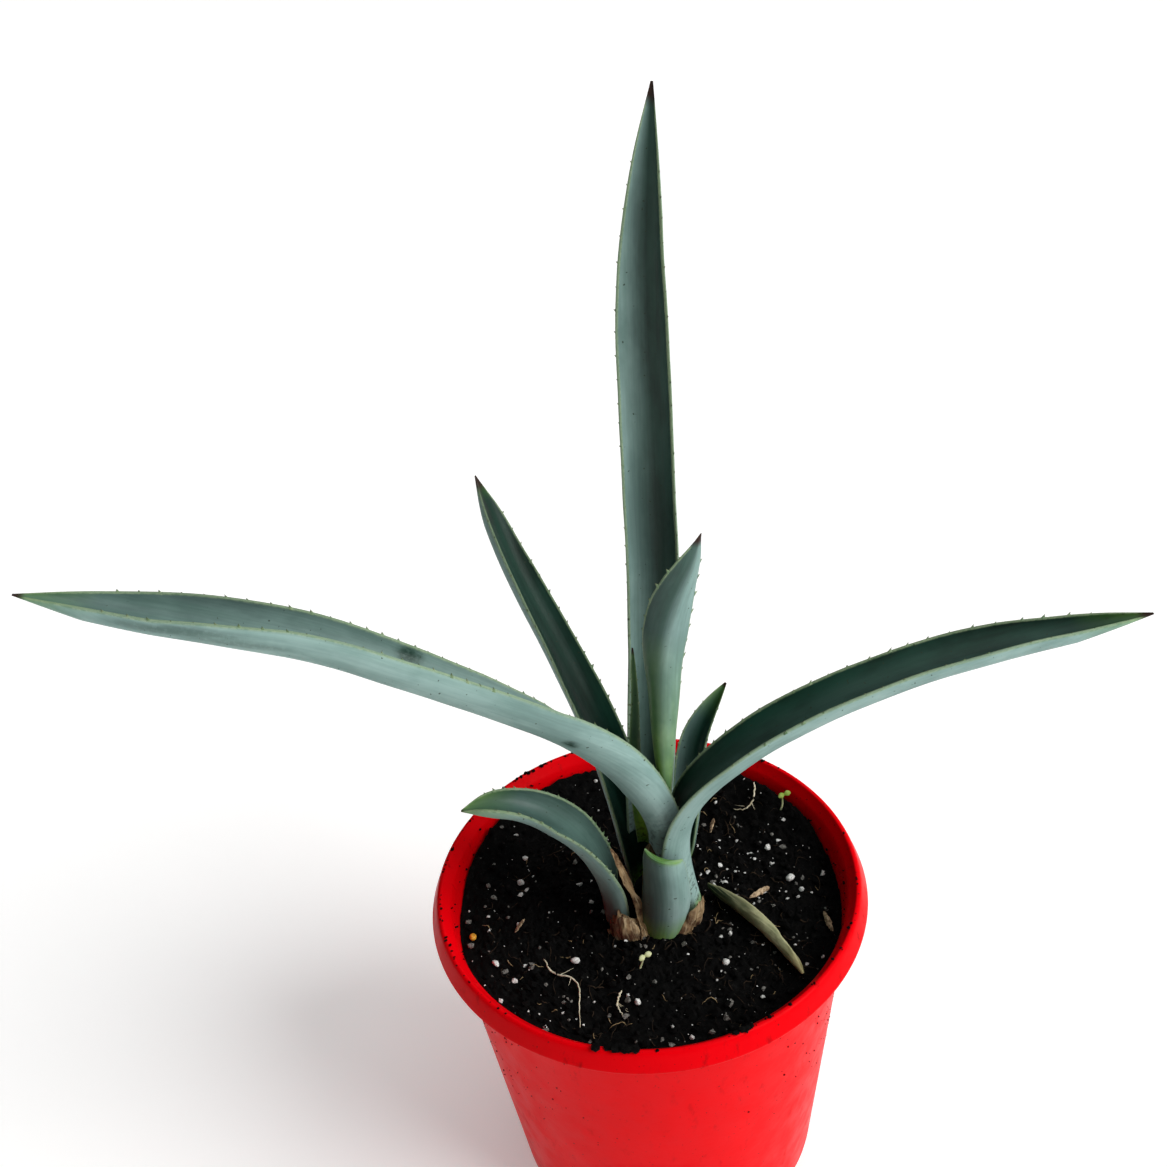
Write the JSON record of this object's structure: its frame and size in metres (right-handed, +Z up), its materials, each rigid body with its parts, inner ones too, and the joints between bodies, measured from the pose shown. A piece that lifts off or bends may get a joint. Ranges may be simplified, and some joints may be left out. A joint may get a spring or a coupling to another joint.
{
  "type": "potted agave",
  "caption": "Young agave with toothed, channelled blue-green leaves in a thin-walled red nursery pot filled with dark potting mix.",
  "frame": {"origin": "centre of the pot's base, on the surface that the pot stands on", "axes": "+Z up along the pot's axis; -Y towards the plant's front, with the long arching leaves reaching towards -X and +X"},
  "size_m": [0.3621, 0.1556, 0.4111],
  "materials": {
    "red_plastic": "satin moulded polypropylene with a pinkish sheen",
    "potting_mix": "moist near-black peat mix, rough",
    "root": "woody stem and roots, matt",
    "leaf": "waxy blue-green leaf with a pale bloom",
    "dry_leaf": "papery dry leaf, brown to tan",
    "wilted_leaf": "wilted olive leaf, dull",
    "perlite": "rough white grain",
    "bark": "raw splintered bark",
    "rootlet": "thin pale root, matt",
    "fertiliser": "amber coated bead, glossy",
    "seedling": "fresh green, satin"
  },
  "bodies": {
    "root": {"pot": "red_plastic", "potting_mix": "potting_mix", "root_crown": "root", "back_left_leaf": "leaf", "bark_chip_1": "bark", "bark_chip_2": "bark", "bark_chip_3": "bark", "bark_chip_4": "bark", "cut_leaf_stub": "leaf", "dry_scale_left": "dry_leaf", "dry_scale_right": "dry_leaf", "dry_twisted_leaf": "dry_leaf", "fallen_leaf": "wilted_leaf", "fertiliser_bead": "fertiliser", "left_arching_leaf": "leaf", "lower_left_leaf": "leaf", "perlite_grain_1": "perlite", "perlite_grain_2": "perlite", "perlite_grain_3": "perlite", "perlite_grain_4": "perlite", "perlite_grain_5": "perlite", "perlite_grain_6": "perlite", "perlite_grain_7": "perlite", "perlite_grain_8": "perlite", "right_arching_leaf": "leaf", "rootlet_front": "rootlet", "rootlet_middle": "rootlet", "rootlet_right": "rootlet", "seedling_front": "seedling", "seedling_right": "seedling", "small_right_leaf": "leaf", "tall_leaf": "leaf", "thin_back_leaf": "leaf", "young_centre_leaf": "leaf"}
  },
  "joints": []
}
